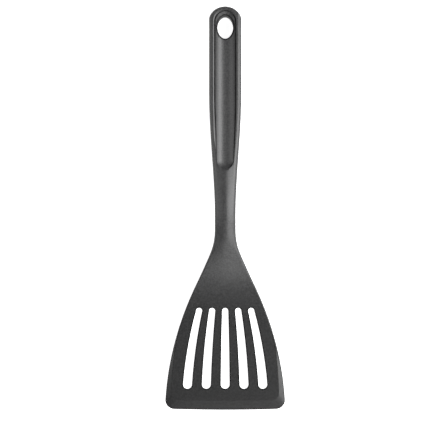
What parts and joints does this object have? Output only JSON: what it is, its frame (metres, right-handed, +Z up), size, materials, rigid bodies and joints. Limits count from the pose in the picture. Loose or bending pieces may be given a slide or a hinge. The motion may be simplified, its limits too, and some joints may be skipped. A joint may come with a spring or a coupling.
{
  "type": "grill spatula",
  "caption": "Slotted grill turner with a fan-shaped blade, arched neck and long handle with a concave grip and a hanging hole.",
  "frame": {"origin": "on the surface that the spatula lies on, below the middle of its length and width", "axes": "+Y from the blade's tip to the end of the handle, +Z up out of the food side, X across the blade"},
  "size_m": [0.0894, 0.3, 0.0196],
  "materials": {
    "nylon_body": "fine satin grain, charcoal",
    "grip_surface": "smooth satin, charcoal",
    "nylon_carrier": "as moulded",
    "stainless_core": "mill finish",
    "stainless_rivet": "formed",
    "eyelet": "satin, near black"
  },
  "bodies": {
    "root": {"turner_body": "nylon_body", "grip_pad": "grip_surface", "grip_carrier": "nylon_carrier", "core_strip": "stainless_core", "core_rivets": "stainless_rivet", "hanging_eyelet": "eyelet"}
  },
  "joints": []
}
